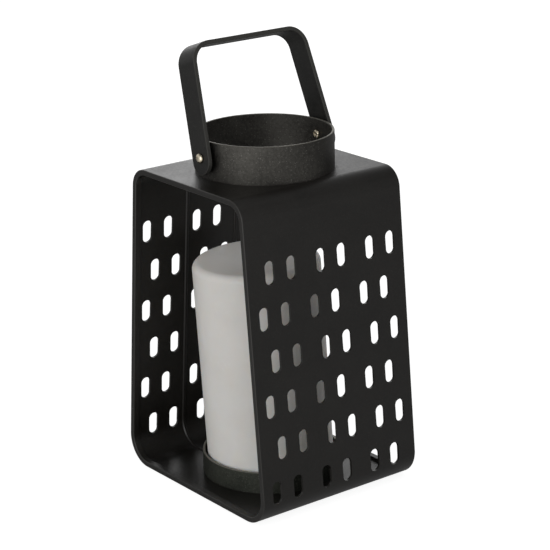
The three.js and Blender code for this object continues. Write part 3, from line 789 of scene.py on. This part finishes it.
floor_size = 6                  # half of its side
floor_white = 0.88              # its own glow where the eye meets it
floor_grey = (0.4, 0.4, 0.4, 1)  # what it throws back of the light
surround_white = 0.97

floor_bm = bmesh.new()
bmesh.ops.create_grid(floor_bm, x_segments=1, y_segments=1, size=floor_size)
floor = to_object("floor", floor_bm)
floor_paint = bpy.data.materials.new("floor_paint")
floor_paint.use_nodes = True
floor_tree = floor_paint.node_tree
floor_tree.nodes.clear()


def towards(tree, place, heading):
    """How far a place or a direction lies towards a heading."""
    side = Vector((cos(radians(heading)), sin(radians(heading)), 0))
    share = put(tree, "ShaderNodeVectorMath", {0: place, 1: side}, operation="DOT_PRODUCT")
    return share.outputs["Value"]


def straight_or_through(tree):
    """One where the eye meets the white straight or through glass."""
    path = put(tree, "ShaderNodeLightPath").outputs
    return sums(tree, "MAXIMUM", path["Is Camera Ray"], path["Is Transmission Ray"])


floor_place = put(floor_tree, "ShaderNodeTexCoord").outputs["Object"]
in_gloss = put(floor_tree, "ShaderNodeLightPath").outputs["Is Glossy Ray"]
before = ramp(floor_tree, towards(floor_tree, floor_place, -62), 0.0, 0.55, 0.05, 0.95)
beside = ramp(floor_tree, towards(floor_tree, floor_place, -20), 0.0, 0.07, 0.05, 0.2)
less_left = ramp(floor_tree, towards(floor_tree, floor_place, 180), 0.15, 0.45, 1.0, 0.3)
front_part = sums(floor_tree, "MULTIPLY", before, less_left)
gloss_floor = sums(floor_tree, "MULTIPLY", in_gloss, sums(floor_tree, "MAXIMUM", front_part, beside))
seen_floor = sums(floor_tree, "MULTIPLY", straight_or_through(floor_tree), floor_white)
glow = put(floor_tree, "ShaderNodeEmission", {
    "Color": (1, 1, 1, 1), "Strength": sums(floor_tree, "MAXIMUM", seen_floor, gloss_floor)})
matt = put(floor_tree, "ShaderNodeBsdfDiffuse", {"Color": floor_grey})
both = put(floor_tree, "ShaderNodeAddShader", {0: glow.outputs[0], 1: matt.outputs[0]})
put(floor_tree, "ShaderNodeOutputMaterial", {"Surface": both.outputs[0]})
floor.data.materials.append(floor_paint)

world = bpy.data.worlds.new("white surround")
world.use_nodes = True
bpy.context.scene.world = world
air = world.node_tree
way = put(air, "ShaderNodeTexCoord").outputs["Generated"]
rise = put(air, "ShaderNodeSeparateXYZ", {"Vector": way}).outputs["Z"]
in_shine = put(air, "ShaderNodeLightPath").outputs["Is Glossy Ray"]
dimmed = ramp(air, in_shine, 0, 1, 0.3, 0.78)
rear_dim = sums(air, "MULTIPLY", dimmed, ramp(air, towards(air, way, 70), 0.5, 0.9))
left_dim = ramp(air, towards(air, way, -143), 0.2, 0.9, 0.0, 0.25)
walls = sums(air, "SUBTRACT", surround_white, sums(air, "ADD", rear_dim, left_dim))
ceiling = ramp(air, rise, 0.4, 0.8, 1, 0.18)
surround = air.nodes["Background"]
surround.inputs["Color"].default_value = (1, 1, 1, 1)
air.links.new(sums(air, "MAXIMUM", straight_or_through(air), sums(air, "MULTIPLY", walls, ceiling)),
              surround.inputs["Strength"])


def soft_lamp(name, place, aim, width, power):
    """A square lamp at a place, turned to a point."""
    lamp = bpy.data.lights.new(name, "AREA")
    lamp.size = width
    lamp.energy = power
    made = bpy.data.objects.new(name, lamp)
    turn = (Vector(aim) - Vector(place)).to_track_quat("-Z", "Y")
    made.matrix_world = Matrix.Translation(place) @ turn.to_matrix().to_4x4()
    bpy.context.scene.collection.objects.link(made)


soft_lamp("key", place=(0.6, -1.5, 0.4), aim=(0, 0, 0.1), width=0.8, power=6)
soft_lamp("rear", place=(-1.35, 0.65, 0.55), aim=(0, 0, 0.1), width=0.8, power=2.2)
soft_lamp("top", place=(0.5, 0.2, 1.5), aim=(0, 0, 0.1), width=0.5, power=2)

camera_place = (0.8757, -0.6658, 0.4836)
camera_heading = radians(52.52)
camera_dip = radians(18.2)
camera_roll = radians(-1.15)
lens = bpy.data.cameras.new("camera")
lens.lens = 130.35
lens.sensor_width = 36
lens.clip_start = 0.01
camera = bpy.data.objects.new("camera", lens)
camera.matrix_world = (Matrix.Translation(camera_place) @ Matrix.Rotation(camera_heading, 4, "Z")
                       @ Matrix.Rotation(pi / 2 - camera_dip, 4, "X")
                       @ Matrix.Rotation(camera_roll, 4, "Z"))
bpy.context.scene.collection.objects.link(camera)
bpy.context.scene.camera = camera
bpy.context.scene.view_settings.view_transform = "Standard"
